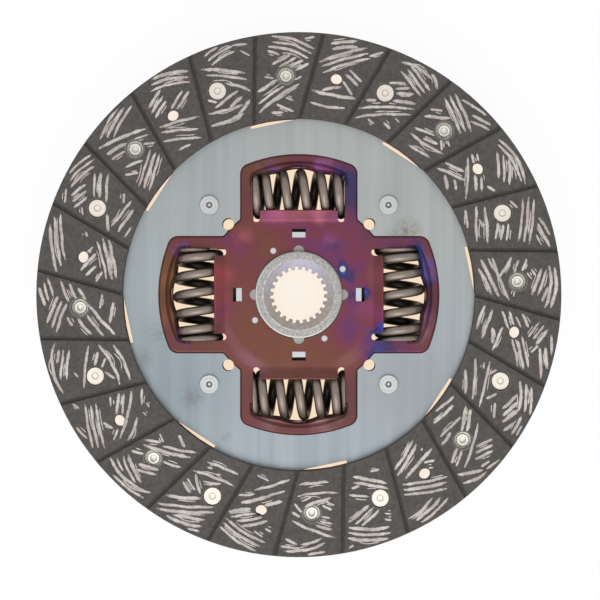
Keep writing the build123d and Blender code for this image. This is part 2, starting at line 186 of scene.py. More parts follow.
class Graph:
    """A material's node tree, built by short calls that take and return sockets."""

    def __init__(self, name):
        self.material = bpy.data.materials.new(name)
        self.material.use_nodes = True
        self.tree = self.material.node_tree
        self.shader = self.tree.nodes["Principled BSDF"]
        coords = self.tree.nodes.new("ShaderNodeTexCoord")
        self.normal = coords.outputs["Normal"]
        self.place = self.vector("MULTIPLY", coords.outputs["Object"], (1 / MM, 1 / MM, 1 / MM))
        self.x, self.y, self.z = self.split(self.place)
        self.plan = self.join(self.x, self.y, 0.0)

    def feed(self, socket, value):
        """An input linked to another socket, or set to a number or a colour."""
        if isinstance(value, bpy.types.NodeSocket):
            self.tree.links.new(value, socket)
        else:
            socket.default_value = value

    def vector(self, operation, first, second=None):
        node = self.tree.nodes.new("ShaderNodeVectorMath")
        node.operation = operation
        self.feed(node.inputs[0], first)
        if second is not None:
            self.feed(node.inputs[1], second)
        return node.outputs["Value" if operation in ("LENGTH", "DISTANCE") else "Vector"]

    def split(self, vector):
        node = self.tree.nodes.new("ShaderNodeSeparateXYZ")
        self.feed(node.inputs[0], vector)
        return node.outputs[0], node.outputs[1], node.outputs[2]

    def join(self, x, y, z):
        node = self.tree.nodes.new("ShaderNodeCombineXYZ")
        for socket, value in zip(node.inputs, (x, y, z)):
            self.feed(socket, value)
        return node.outputs[0]

    def math(self, operation, first, second=None, third=None):
        node = self.tree.nodes.new("ShaderNodeMath")
        node.operation = operation
        for socket, value in zip(node.inputs, (first, second, third)):
            if value is not None:
                self.feed(socket, value)
        return node.outputs[0]

    def ramp(self, value, low, high, start=0.0, end=1.0):
        """Value mapped softly from low..high to start..end and held there outside it."""
        node = self.tree.nodes.new("ShaderNodeMapRange")
        node.interpolation_type = "SMOOTHSTEP"
        for socket, number in zip(node.inputs, (value, low, high, start, end)):
            self.feed(socket, number)
        return node.outputs[0]

    def line(self, value, middle, width, core, strength=1.0):
        """Strength within core of a middle value, falling softly to 0 at width from it."""
        off = self.math("ABSOLUTE", self.math("SUBTRACT", value, middle))
        return self.ramp(off, width, core, 0.0, strength)

    def noise(self, size_mm, detail=3.0, roughness=0.55, place=None):
        """Soft noise from 0 to 1 whose features are about size_mm wide."""
        node = self.tree.nodes.new("ShaderNodeTexNoise")
        self.feed(node.inputs["Vector"], self.place if place is None else place)
        node.inputs["Scale"].default_value = 1.0 / size_mm
        node.inputs["Detail"].default_value = detail
        node.inputs["Roughness"].default_value = roughness
        return node.outputs[0]

    def spread(self, noise, start, end):
        """A noise whose usual values are mapped to start..end."""
        return self.ramp(noise, noise_low, noise_high, start, end)

    def mix(self, share, first, second):
        node = self.tree.nodes.new("ShaderNodeMix")
        node.data_type = "RGBA"
        colours = [socket for socket in node.inputs if socket.type == "RGBA"]
        self.feed(node.inputs[0], share)
        self.feed(colours[0], first)
        self.feed(colours[1], second)
        return [socket for socket in node.outputs if socket.type == "RGBA"][0]

    def colours(self, value, stops):
        """Colour looked up along a row of (position, colour) stops."""
        node = self.tree.nodes.new("ShaderNodeValToRGB")
        row = node.color_ramp.elements
        while len(row) < len(stops):
            row.new(0.5)
        for element, (position, colour) in zip(row, stops):
            element.position = position
            element.color = colour
        self.feed(node.inputs[0], value)
        return node.outputs[0]

    def spot(self, x, y, radius, plan=None):
        """1 at a point of the plan, falling softly to 0 at a radius in mm."""
        away = self.vector("DISTANCE", self.plan if plan is None else plan, (x, y, 0.0))
        return self.ramp(away, radius, 0.0)

    def patches(self, colour, rows, plan=None, cover=None):
        """Colour under soft round patches, each given as x, y, radius, strength and tint."""
        for x, y, radius, strength, tint in rows:
            share = self.spot(x, y, radius, plan)
            if cover is not None:
                share = self.math("MULTIPLY", share, cover)
            colour = self.mix(self.math("MULTIPLY", share, strength), colour, tint)
        return colour

    def wavering_plan(self, size_mm, sway_mm):
        """The plan position pushed about by noise, so that what is drawn on it isn't round."""
        aside = self.vector("ADD", self.place, (50.0, 0.0, 0.0))
        across = self.spread(self.noise(size_mm), -sway_mm, sway_mm)
        along = self.spread(self.noise(size_mm, place=aside), -sway_mm, sway_mm)
        return self.join(self.math("ADD", self.x, across), self.math("ADD", self.y, along), 0.0)

    def radius(self):
        """Distance from the Z axis in mm."""
        return self.vector("LENGTH", self.plan)

    def height(self):
        """Distance in mm from the middle of the disc plate, on either side."""
        return self.math("ABSOLUTE", self.z)

    def groove_reach(self):
        """Distance in mm to the nearest groove of the facing on this side of the disc."""
        side = self.math("SIGN", self.z)
        turn = self.math("MULTIPLY", self.math("ARCTAN2", self.y, self.x), side)
        flip = self.math("MULTIPLY", self.math("SUBTRACT", 1.0, side), math.radians(flip_angle))
        lead = self.math("ARCSINE", self.math("DIVIDE", groove_offset_mm, self.radius()))
        line = self.math("ADD", lead, math.radians(groove_turn))
        off = self.math("SUBTRACT", self.math("ADD", turn, flip), line)
        off = self.math("WRAP", off, math.radians(pad_pitch / 2), math.radians(-pad_pitch / 2))
        across = self.math("MULTIPLY", self.math("SINE", off), self.radius())
        return self.math("ABSOLUTE", self.math("MULTIPLY", across, self.math("COSINE", lead)))

    def rivet_reach(self):
        """Distance in mm to the axis of the nearest facing rivet."""
        turn = self.math("MULTIPLY", self.math("ARCTAN2", self.y, self.x), math.degrees(1))
        out = self.math("SUBTRACT", self.radius(), rivet_circle_mm)
        reach = rivet_circle_mm
        for rivet_turn in (paddle_turn - rivet_half_angle, paddle_turn + rivet_half_angle):
            off = self.math("SUBTRACT", turn, rivet_turn)
            off = self.math("WRAP", off, paddle_pitch / 2, -paddle_pitch / 2)
            across = self.math("MULTIPLY", off, rivet_circle_mm * math.radians(1))
            away = self.vector("LENGTH", self.join(across, out, 0.0))
            reach = self.math("MINIMUM", reach, away)
        return reach

    def bump(self, height, strength, distance_mm):
        """Normal of a surface whose relief is about distance_mm deep."""
        node = self.tree.nodes.new("ShaderNodeBump")
        node.inputs["Strength"].default_value = strength
        node.inputs["Distance"].default_value = distance_mm * MM
        self.feed(node.inputs["Height"], height)
        return node.outputs[0]

    def finish(self, colour, roughness, metallic=0.0, normal=None):
        """The material, with its shader fed."""
        self.feed(self.shader.inputs["Base Color"], colour)
        self.feed(self.shader.inputs["Roughness"], roughness)
        self.shader.inputs["Metallic"].default_value = metallic
        if normal is not None:
            self.feed(self.shader.inputs["Normal"], normal)
        return self.material


# --- Materials --------------------------------------------------------------------------
# Rows of patches are x, y and radius in mm, strength and tint.
def facing_material():
    """Dull moulded friction compound, warm dark grey with fine flecks, painted shade along the
    grooves, a painted shadow line at its inner edge and painted highlights round the rivet
    pockets.
    """
    g = Graph("facing_compound")
    cloud = g.noise(9.0, detail=4.0)
    mottle = g.noise(1.6, detail=3.0, roughness=0.6)
    grain = g.noise(0.5, detail=5.0, roughness=0.7)
    colour = g.mix(cloud, srgb(78, 75, 72), srgb(98, 94, 91))
    colour = g.mix(g.ramp(mottle, 0.48, 0.62, 0.0, 0.28), colour, srgb(116, 112, 108))
    colour = g.mix(g.ramp(mottle, 0.46, 0.32, 0.0, 0.34), colour, srgb(60, 58, 56))
    colour = g.mix(g.ramp(grain, 0.58, 0.74, 0.0, 0.6), colour, srgb(136, 130, 124))
    colour = g.mix(g.ramp(grain, 0.46, 0.3, 0.0, 0.75), colour, srgb(54, 52, 50))
    # Painted shade along the grooves, with a ragged edge.
    groove = g.math("ADD", g.groove_reach(), g.spread(mottle, -0.2, 0.2))
    colour = g.mix(g.ramp(groove, groove_shade_mm, 0.7, 0.0, 0.55), colour, srgb(58, 56, 53))
    # Painted shadow line along the facing's inner edge.
    rim = g.ramp(g.radius(), facing_inner_r_mm + 0.12, facing_inner_r_mm + 0.02)
    colour = g.mix(rim, colour, srgb(74, 60, 58))
    # Painted highlight: a pale ring round the mouth of each rivet pocket and hole.
    mouth = g.line(g.rivet_reach(), rivet_mouth_mm, 0.6, 0.1, 0.5)
    colour = g.mix(mouth, colour, srgb(152, 149, 138))
    return g.finish(colour, g.spread(grain, 0.78, 0.95), normal=g.bump(grain, 0.5, 0.12))


def yarn_material():
    """Pale twisted yarn, ground nearly flush with the facing and grey towards its sides."""
    g = Graph("facing_yarn")
    tone = g.noise(6.0, detail=2.0)
    fibre = g.noise(0.35, detail=4.0, roughness=0.7)
    colour = g.mix(g.ramp(tone, 0.35, 0.65), srgb(204, 196, 190), srgb(238, 231, 224))
    colour = g.mix(g.ramp(g.noise(11.0), 0.52, 0.68, 0.0, 0.5), colour, srgb(218, 194, 188))
    proud = g.math("SUBTRACT", g.height(), front_face_z / MM)
    worn = g.spread(g.noise(1.7, detail=3.0, roughness=0.6), -0.03, 0.03)
    core = g.ramp(g.math("ADD", proud, worn), 0.0, 0.055)
    colour = g.mix(core, srgb(140, 132, 127), colour)
    colour = g.mix(g.ramp(fibre, 0.5, 0.3, 0.0, 0.5), colour, srgb(122, 115, 110))
    return g.finish(colour, 0.85, normal=g.bump(fibre, 0.6, 0.1))


DISC_SHADES = [
    (-56.0, -40.0, 50.0, 0.85, srgb(132, 144, 149)),
    (48.0, -42.0, 34.0, 0.80, srgb(144, 149, 151)),
    (20.0, -66.0, 26.0, 0.45, srgb(142, 152, 159)),
    (43.0, 43.0, 16.0, 0.45, srgb(154, 154, 150)),
]
DISC_SMUDGES = [
    (47.0, 27.5, 8.5, 0.75, srgb(112, 108, 84)),
    (40.5, 27.0, 6.0, 0.35, srgb(120, 116, 90)),
    (-45.7, -44.3, 7.5, 0.70, srgb(112, 108, 118)),
    (-31.4, -60.9, 3.5, 0.60, srgb(120, 122, 128)),
    (-61.0, -17.0, 9.0, 0.50, srgb(116, 122, 126)),
    (-66.0, -27.0, 6.0, 0.55, srgb(112, 120, 124)),
    (29.8, 31.0, 4.0, 0.35, srgb(150, 150, 116)),
]


def disc_steel_material():
    """Blue-grey spring steel with faint rolling streaks, a few smudges and painted light under
    the facings.
    """
    g = Graph("disc_steel")
    along = g.join(g.x, g.math("MULTIPLY", g.y, 0.03), g.z)
    streak = g.noise(5.0, detail=3.0, roughness=0.55, place=along)
    cloud = g.noise(26.0, detail=2.0)
    warm = g.mix(cloud, srgb(160, 165, 164), srgb(172, 174, 171))
    cool = g.mix(cloud, srgb(146, 154, 160), srgb(156, 164, 170))
    colour = g.mix(g.ramp(g.y, -45.0, 40.0), cool, warm)
    colour = g.mix(g.ramp(g.x, 10.0, -75.0, 0.0, 0.7), colour, srgb(150, 160, 164))
    colour = g.mix(g.ramp(streak, 0.35, 0.65, 0.0, 0.3), colour, srgb(144, 152, 157))
    colour = g.patches(colour, DISC_SHADES)
    rough_edge = g.ramp(g.noise(2.2, detail=4.0, roughness=0.7), 0.3, 0.62)
    colour = g.patches(colour, DISC_SMUDGES, cover=rough_edge)
    # Painted light: near-white under the facings, seen only at the shaded floors of the rivet
    # holes and vents.
    colour = g.mix(g.ramp(g.radius(), *paddle_painted_light_mm), colour, srgb(236, 236, 222))
    return g.finish(colour, g.spread(streak, 0.42, 0.55), 0.55, g.bump(streak, 0.08, 0.05))


HEAT_COLOURS = [
    (0.00, srgb(104, 64, 40)),
    (0.15, srgb(103, 59, 48)),
    (0.30, srgb(105, 53, 54)),
    (0.45, srgb(107, 47, 69)),
    (0.60, srgb(97, 45, 88)),
    (0.75, srgb(60, 40, 82)),
    (0.88, srgb(38, 45, 98)),
    (1.00, srgb(38, 78, 156)),
]

# Where the front plate's colour leaves the plain maroon: x, y, radius in mm and how far.
HEAT_SPOTS = [
    (0.0, 24.0, 24.0, 0.16),
    (19.0, 19.0, 23.0, 0.27),
    (27.0, -8.0, 15.0, 0.20),
    (0.0, -30.0, 22.0, -0.16),
    (-19.0, -20.0, 16.0, -0.12),
    (-12.0, 19.0, 9.0, -0.18),
    (23.5, 36.0, 12.0, 0.30),
    (22.5, 46.0, 13.0, 0.50),
    (-22.5, 50.0, 13.0, -0.12),
    (44.0, 23.0, 14.0, 0.34),
    (46.0, -23.0, 14.0, 0.30),
    (50.5, 19.0, 6.0, 0.60),
    (53.5, 12.5, 6.0, 0.60),
    (55.0, 4.0, 6.0, 0.55),
    (55.3, -5.0, 6.0, 0.40),
    (54.8, -14.0, 6.0, 0.25),
    (-11.0, 53.5, 7.0, 0.28),
    (0.0, 56.3, 8.0, 0.25),
    (10.0, 54.8, 8.0, 0.34),
    (18.5, 51.0, 7.0, 0.40),
    (18.0, 10.6, 4.5, 0.45),
    (26.8, -1.0, 5.5, 0.36),
    (34.3, -13.6, 4.5, 0.45),
    (34.0, -23.0, 9.0, 0.50),
    (21.0, -16.7, 10.0, 0.24),
    (17.0, 20.0, 8.0, 0.12),
    (26.7, 10.2, 7.0, 0.18),
    (-10.0, 33.5, 8.0, 0.22),
    (6.0, 33.0, 10.0, 0.10),
    (-22.5, 20.0, 9.0, 0.22),
    (-30.8, 23.5, 6.0, 0.22),
    (-32.3, -4.4, 7.0, 0.24),
    (-51.0, 19.0, 6.0, 0.40),
    (-50.5, -19.5, 6.0, 0.34),
    (-57.0, 2.0, 16.0, -0.16),
    (-58.0, 14.0, 8.0, -0.14),
    (-59.0, -8.0, 20.0, -0.20),
    (-59.0, 12.0, 18.0, -0.20),
    (-17.0, 58.0, 16.0, -0.20),
    (22.5, 0.0, 6.5, 0.26),
    (21.0, 8.0, 6.5, 0.30),
    (28.5, 1.0, 6.0, 0.40),
    (30.0, -24.0, 7.0, 0.18),
    (33.6, -17.0, 4.0, 0.45),
    (35.5, -27.0, 8.0, 0.18),
    (14.5, 23.5, 6.0, 0.16),
]

# Paler or darker patches laid over the heat colours: x, y, radius, strength and colour. The paler
# rows on the tongues, about 34.5 mm out, on the lips and their corners, about 51 to 56 mm out,
# and the pale pink row at (-24.0, 24.5) are painted highlights, stronger on the sides that face
# the light; the strongly blue rows are temper colours.
HEAT_TINTS_AND_HIGHLIGHTS = [
    (-8.5, 34.5, 7.0, 0.75, srgb(146, 72, 100)),
    (0.0, 34.8, 6.0, 0.35, srgb(146, 72, 100)),
    (8.5, 34.5, 7.0, 0.75, srgb(148, 76, 98)),
    (-34.0, 8.0, 7.5, 0.75, srgb(150, 66, 70)),
    (-34.5, -1.0, 7.0, 0.65, srgb(146, 64, 72)),
    (-34.0, -8.0, 6.0, 0.40, srgb(140, 64, 78)),
    (34.2, 8.0, 7.0, 0.55, srgb(130, 62, 84)),
    (34.2, -7.0, 8.0, 0.60, srgb(136, 56, 104)),
    (7.0, -34.6, 8.0, 0.40, srgb(112, 68, 70)),
    (-6.0, -34.6, 8.0, 0.45, srgb(114, 68, 74)),
    (9.5, 54.6, 6.5, 0.75, srgb(158, 86, 150)),
    (3.0, 56.0, 4.0, 0.45, srgb(146, 76, 116)),
    (-11.0, 54.0, 6.0, 0.60, srgb(132, 88, 132)),
    (-16.8, 51.8, 3.8, 0.50, srgb(124, 92, 100)),
    (16.8, 52.0, 4.0, 0.60, srgb(80, 66, 132)),
    (54.6, 9.0, 6.5, 0.70, srgb(92, 84, 160)),
    (53.4, 15.0, 6.0, 0.70, srgb(84, 84, 156)),
    (51.4, 18.6, 3.8, 0.80, srgb(52, 88, 176)),
    (54.8, -8.5, 6.0, 0.60, srgb(132, 86, 122)),
    (53.6, -14.5, 6.0, 0.60, srgb(136, 96, 104)),
    (51.2, -18.6, 3.6, 0.55, srgb(126, 96, 116)),
    (-51.0, 18.4, 3.8, 0.65, srgb(118, 84, 122)),
    (-51.2, -18.6, 4.2, 0.60, srgb(98, 80, 104)),
    (-56.0, 8.0, 8.0, 0.45, srgb(128, 86, 52)),
    (-56.0, -10.0, 7.0, 0.35, srgb(128, 82, 50)),
    (-13.0, -54.0, 8.0, 0.50, srgb(116, 90, 96)),
    (9.0, -55.0, 7.5, 0.55, srgb(132, 98, 98)),
    (17.0, -52.6, 5.0, 0.50, srgb(114, 92, 92)),
    (61.0, -2.0, 17.0, 0.55, srgb(66, 36, 42)),
    (26.0, -46.0, 17.0, 0.50, srgb(70, 50, 50)),
    (35.0, -12.8, 4.0, 0.85, srgb(44, 68, 164)),
    (30.5, -16.0, 3.5, 0.35, srgb(80, 50, 120)),
    (33.0, -22.5, 5.5, 0.60, srgb(64, 52, 112)),
    (29.5, -26.8, 3.0, 0.60, srgb(56, 58, 118)),
    (14.0, 24.5, 5.0, 0.45, srgb(140, 74, 112)),
    (27.5, -8.0, 5.0, 0.35, srgb(134, 66, 94)),
    (30.0, 25.0, 8.0, 0.40, srgb(78, 48, 62)),
    (-24.0, 24.5, 5.5, 0.50, srgb(160, 86, 92)),
]

# Painted highlights on the ring that the raised middle of the plate shows, in pale stretches: as
# above.
ARC_HIGHLIGHTS = [
    (-20.0, -28.0, 14.0, 0.40, srgb(144, 100, 120)),
    (22.0, -27.0, 12.0, 0.32, srgb(142, 100, 96)),
    (-30.0, -16.0, 9.0, 0.25, srgb(138, 92, 108)),
]


def tinted_steel_material():
    """Pressed steel with temper colours: brown, magenta, purple and blue, and painted highlights
    on its bends and on the ring round its raised middle.
    """
    g = Graph("tinted_steel")
    plan = g.wavering_plan(10.0, 2.0)
    heat = g.spread(g.noise(16.0, detail=3.0), 0.16, 0.36)
    for x, y, radius, strength in HEAT_SPOTS:
        heat = g.math("ADD", heat, g.math("MULTIPLY", g.spot(x, y, radius, plan), strength))
    heat = g.math("ADD", heat, g.spread(g.noise(1.6, detail=4.0), -0.03, 0.03))
    rings = g.noise(2.6, detail=2.0, place=g.join(g.radius(), 0.0, 0.0))
    heat = g.math("ADD", heat, g.spread(rings, -0.05, 0.05))
    colour = g.colours(heat, HEAT_COLOURS)
    grain = g.noise(0.35, detail=4.0, roughness=0.7)
    colour = g.mix(g.ramp(grain, 0.56, 0.78, 0.0, 0.3), colour, srgb(156, 116, 116))
    lower_left = g.spot(-14.0, -16.0, 34.0)
    band = g.math("MULTIPLY", lower_left, g.ramp(rings, 0.4, 0.65, 0.0, 0.35))
    colour = g.mix(band, colour, srgb(112, 72, 54))
    # Painted highlight along the ring round the raised middle.
    arc = g.line(g.radius(), highlight_arc_mm, 4.4, 0.8)
    colour = g.patches(colour, ARC_HIGHLIGHTS, plan, cover=arc)
    colour = g.mix(g.ramp(g.radius(), *arm_shade_mm, 0.0, 0.24), colour, srgb(66, 46, 44))
    # Temper colours, and painted highlights on the tongues and lips.
    colour = g.patches(colour, HEAT_TINTS_AND_HIGHLIGHTS, plan)
    return g.finish(colour, g.spread(grain, 0.38, 0.48), 0.6, g.bump(grain, 0.12, 0.04))


# Lavender patches of the light on the hub's chamfer.
HUB_TINTS = [
    (8.2, 11.1, 3.6, 0.6, srgb(148, 147, 188)),
    (1.0, 13.8, 4.6, 0.6, srgb(148, 147, 188)),
    (-5.5, 12.6, 3.6, 0.6, srgb(148, 147, 188)),
]


def hub_material():
    """Matt grey forged steel, granular, with a painted highlight on its rim and a bluish machined
    chamfer, paler on its upper side as painted light.
    """
    g = Graph("hub_steel")
    grain = g.noise(0.7, detail=5.0, roughness=0.75)
    patchy = g.ramp(g.noise(1.5, detail=3.0), 0.38, 0.62)
    colour = g.mix(g.ramp(grain, 0.36, 0.64), srgb(132, 131, 129), srgb(184, 181, 178))
    # Painted highlight: near-white on everything beyond hub_rim_mm, the nose's rim and the
    # flange, strongest towards the lower left.
    lit_side = g.ramp(g.math("ADD", g.x, g.y), 16.0, -12.0, 0.35, 1.0)
    rim = g.math("MULTIPLY", g.ramp(g.radius(), hub_rim_mm - 0.15, hub_rim_mm), lit_side)
    colour = g.mix(rim, colour, srgb(252, 252, 250))
    # A patchy pale line at the chamfer's edge, on the lit side only: wear and painted highlight.
    edge_wear_and_highlight = g.math("MULTIPLY", g.line(g.radius(), hub_edge_mm, 0.35, 0.1, 0.6), patchy)
    colour = g.mix(g.math("MULTIPLY", edge_wear_and_highlight, lit_side), colour, srgb(222, 224, 220))
    # Painted light on the chamfer: lavender and paler on its upper side, warmer and darker on its
    # lower side.
    bluish = g.mix(g.ramp(g.y, -5.0, 3.0), srgb(168, 155, 146), srgb(166, 161, 171))
    bluish = g.patches(bluish, HUB_TINTS)
    bluish = g.mix(g.math("MULTIPLY", patchy, 0.35), bluish, srgb(192, 188, 188))
    bluish = g.mix(g.ramp(grain, 0.5, 0.36, 0.0, 0.45), bluish, srgb(140, 134, 134))
    cone = g.ramp(g.radius(), hub_cone_mm, hub_cone_mm - 0.3)
    colour = g.mix(cone, colour, bluish)
    return g.finish(colour, 0.5, 0.6, g.bump(grain, 0.35, 0.08))


def spring_material():
    """Oxide-brown spring wire, painted dark on its flanks as shade and paler on the crests that
    face away from the disc as painted light.
    """
    g = Graph("spring_wire")
    cloud = g.noise(3.0, detail=3.0)
    grain = g.noise(0.4, detail=4.0, roughness=0.7)
    colour = g.mix(cloud, srgb(132, 119, 108), srgb(154, 141, 132))
    colour = g.mix(g.ramp(grain, 0.55, 0.35, 0.0, 0.3), colour, srgb(100, 90, 82))
    # Painted shade on the wire's flanks and painted light on its crests, by which way the surface
    # faces.
    side = g.math("SIGN", g.math("SUBTRACT", g.z, spring_middle_z / MM))
    outward = g.math("MULTIPLY", g.split(g.normal)[2], side)
    colour = g.mix(g.ramp(outward, 0.40, 0.72), srgb(50, 42, 36), colour)
    return g.finish(colour, 0.42, 0.5, g.bump(grain, 0.15, 0.04))


def rivet_material():
    """Pale plated rivets with a pressed ring, and painted light that makes them paler still where
    they lie deep in shade.
    """
    g = Graph("rivet_plating")
    grain = g.noise(0.6, detail=3.0)
    colour = g.mix(grain, srgb(230, 222, 210), srgb(246, 240, 229))
    # Painted light: paler near the disc plate, where the tails lie deep in shade in the facing
    # holes.
    deep = g.ramp(g.height(), rivet_top_mm, rivet_deep_mm)
    colour = g.mix(deep, colour, srgb(252, 248, 240))
    ring = g.line(g.rivet_reach(), rivet_ring_mm, 0.45, 0.1)
    strength = g.ramp(g.height(), rivet_deep_mm, rivet_top_mm, 0.1, 0.5)
    colour = g.mix(g.math("MULTIPLY", ring, strength), colour, srgb(172, 162, 148))
    return g.finish(colour, 0.38, 0.35, g.bump(grain, 0.15, 0.05))


def pin_material():
    """Bright zinc-grey pin heads with fine pressed rings, a dimple painted dark as shade and a
    dot painted pale as a highlight.
    """
    g = Graph("pin_steel")
    grain = g.noise(0.5, detail=3.0)
    colour = g.mix(grain, srgb(186, 189, 188), srgb(208, 211, 209))
    across = g.math("SUBTRACT", g.math("ABSOLUTE", g.x), pin_reach_mm)
    along = g.math("SUBTRACT", g.math("ABSOLUTE", g.y), pin_reach_mm)
    reach = g.vector("LENGTH", g.join(across, along, 0.0))

    def disc(radius_mm, blur_mm):
        return g.ramp(reach, radius_mm + blur_mm, radius_mm - blur_mm)

    ring = g.math("PINGPONG", reach, pin_ring_mm)
    face = g.ramp(reach, pin_face_mm, pin_face_mm - pin_face_blur_mm)
    shade = g.math("MULTIPLY", g.ramp(ring, 0.1, 0.4, 0.25, 0.0), face)
    colour = g.mix(shade, colour, srgb(140, 144, 144))
    # Painted shade in the dimple.
    colour = g.mix(disc(pin_dimple_mm, pin_dimple_blur_mm), colour, srgb(98, 102, 104))
    # Painted highlight: a pale dot in the dimple's middle.
    colour = g.mix(disc(pin_dot_mm, pin_dot_blur_mm), colour, srgb(198, 202, 200))
    return g.finish(colour, 0.42, 0.4, g.bump(ring, 0.3, 0.1))


def washer_material():
    """Bright flat washer steel."""
    g = Graph("washer_steel")
    grain = g.noise(0.6, detail=3.0)
    colour = g.mix(grain, srgb(182, 182, 188), srgb(208, 208, 214))
    return g.finish(colour, 0.45, 0.5, g.bump(grain, 0.15, 0.05))


def resin_material():
    """Pale grey-green moulded resin with paler pegs."""
    g = Graph("bush_resin")
    grain = g.noise(0.8, detail=3.0)
    colour = g.mix(grain, srgb(156, 158, 150), srgb(178, 180, 172))
    for i in range(peg_count):
        turn = math.radians(peg_turn + 360.0 / peg_count * i)
        x, y = peg_circle_mm * math.cos(turn), peg_circle_mm * math.sin(turn)
        peg = g.ramp(g.spot(x, y, peg_spot_mm), 0.35, 0.7)
        colour = g.mix(peg, colour, srgb(226, 226, 232))
    return g.finish(colour, 0.6, normal=g.bump(grain, 0.2, 0.05))


def friction_resin_material():
    """Dark moulded friction washer."""
    g = Graph("friction_resin")
    grain = g.noise(0.6, detail=4.0)
    colour = g.mix(grain, srgb(58, 54, 50), srgb(82, 78, 72))
    return g.finish(colour, 0.75, normal=g.bump(grain, 0.3, 0.08))


def add_object(name, data):
    """A new object in the scene that shows a mesh, a lamp or a camera."""
    thing = bpy.data.objects.new(name, data)
    bpy.context.scene.collection.objects.link(thing)
    return thing


# --- Springs ------------------------------------------------------------------------------
def coil_height(turn, pitch, closed_pitch):
    """Axial place of the wire at a number of turns from the spring's middle."""
    open_turns = spring_turns / 2 - spring_closed_turns - spring_ramp_turns
    out = abs(turn)
    on_ramp = min(max(out - open_turns, 0), spring_ramp_turns)
    in_closed = max(out - open_turns - spring_ramp_turns, 0)
    slowing = (pitch - closed_pitch) / (2 * spring_ramp_turns)
    height = min(out, open_turns) * pitch
    height += on_ramp * pitch - slowing * on_ramp ** 2
    height += in_closed * closed_pitch
    return math.copysign(height, turn)


def tube_mesh(path, radius, sides):
    """Points and faces of a closed tube along a list of points, with flat ends."""
    points, faces = [], []
    side_way = Vector((0, 0, 1))
    for i, here in enumerate(path):
        ahead = (path[min(i + 1, len(path) - 1)] - path[max(i - 1, 0)]).normalized()
        side_way = (side_way - ahead * side_way.dot(ahead)).normalized()
        up_way = ahead.cross(side_way)
        for s in range(sides):
            turn = 2 * math.pi * s / sides
            points.append(here + radius * (math.cos(turn) * side_way + math.sin(turn) * up_way))
    for i in range(len(path) - 1):
        for s in range(sides):
            a, b = i * sides + s, i * sides + (s + 1) % sides
            faces.append((a, b, b + sides, a + sides))
    faces.append(tuple(reversed(range(sides))))
    faces.append(tuple(range(len(points) - sides, len(points))))
    return points, faces


def spring_path(crest_turn):
    """Middle line of one spring's wire about the Z axis, from end to end."""
    coil_r = (spring_outer_dia - spring_wire_dia) / 2
    closed_pitch = spring_wire_dia + spring_closed_gap
    slow_turns = 2 * spring_closed_turns + spring_ramp_turns
    centre_length = spring_length + 2 * spring_wire_dia * spring_ground_share
    pitch = (centre_length - slow_turns * closed_pitch) / (spring_turns - slow_turns)
    count = round(spring_turns * spring_steps_per_turn)
    phase = crest_turn - 90
    path = []
    for i in range(count + 1):
        turn = spring_turns * (i / count - 0.5)
        a = math.radians(360 * turn + phase)
        height = coil_height(turn, pitch, closed_pitch)
        path.append(Vector((coil_r * math.cos(a), coil_r * math.sin(a), height)))
    return path


def damper_spring(number, angle, crest_turn, material):
    """Coil spring with closed and ground ends, shown in place of the CAD's spring."""
    points, faces = tube_mesh(spring_path(crest_turn), spring_wire_dia / 2, spring_sides)
    half = spring_length / 2
    radial = Vector((math.cos(math.radians(angle)), math.sin(math.radians(angle)), 0))
    tangent = Vector((-radial.y, radial.x, 0))
    centre = radial * spring_circle_r + Vector((0, 0, spring_middle_z))
    placed = []
    for p in points:
        along = max(-half, min(half, p.z))
        placed.append(centre + radial * p.x - Vector((0, 0, 1)) * p.y + tangent * along)
    mesh = bpy.data.meshes.new(f"coil_spring_{number}")
    mesh.from_pydata(placed, [], faces)
    mesh.materials.append(material)
    for face in mesh.polygons:
        face.use_smooth = len(face.vertices) == 4
    piece = add_object(f"coil_spring_{number}", mesh)
    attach(piece, "springs")
    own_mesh(piece)
    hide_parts(f"damper_spring_{number}")


